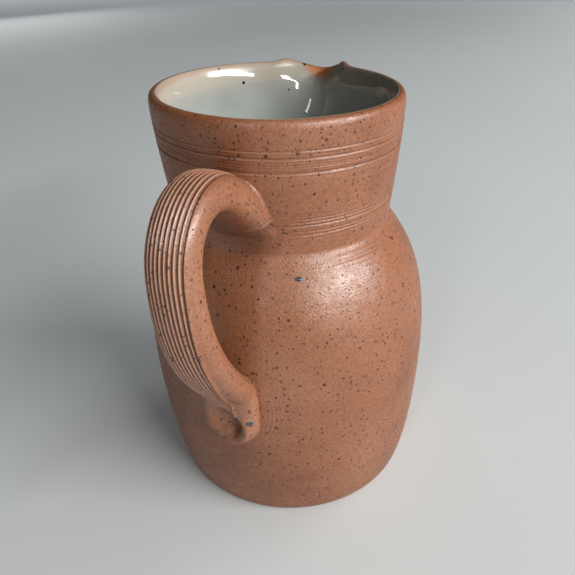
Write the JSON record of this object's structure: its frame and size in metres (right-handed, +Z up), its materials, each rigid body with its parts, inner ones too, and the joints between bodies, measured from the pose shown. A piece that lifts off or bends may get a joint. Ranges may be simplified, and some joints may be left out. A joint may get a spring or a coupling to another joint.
{
  "type": "ceramic pitcher",
  "caption": "Hand-thrown stoneware pitcher: round belly, drawn-in waist, flared neck with turned lines, pulled spout and a combed strap handle; glazed inside.",
  "frame": {"origin": "centre of the flat base, on the surface that the pitcher stands on", "axes": "+Z up, along the axis on which the body was thrown; +X towards the pouring spout, with the handle on the -X side; +Y to the left of the spout"},
  "size_m": [0.1793, 0.142, 0.2015],
  "materials": {
    "bare_stoneware": "satin, salt-fired orange-brown clay with iron specks",
    "combed_stoneware": "satin clay with combed ridges",
    "clay_slip": "satin, finger-smoothed slip",
    "celadon_glaze": "gloss, pale grey-green glaze with a few dark specks"
  },
  "bodies": {
    "root": {"body": "bare_stoneware", "inner_glaze": "celadon_glaze", "handle": "combed_stoneware", "upper_slip_joint": "clay_slip", "lower_slip_joint": "clay_slip"}
  },
  "joints": []
}
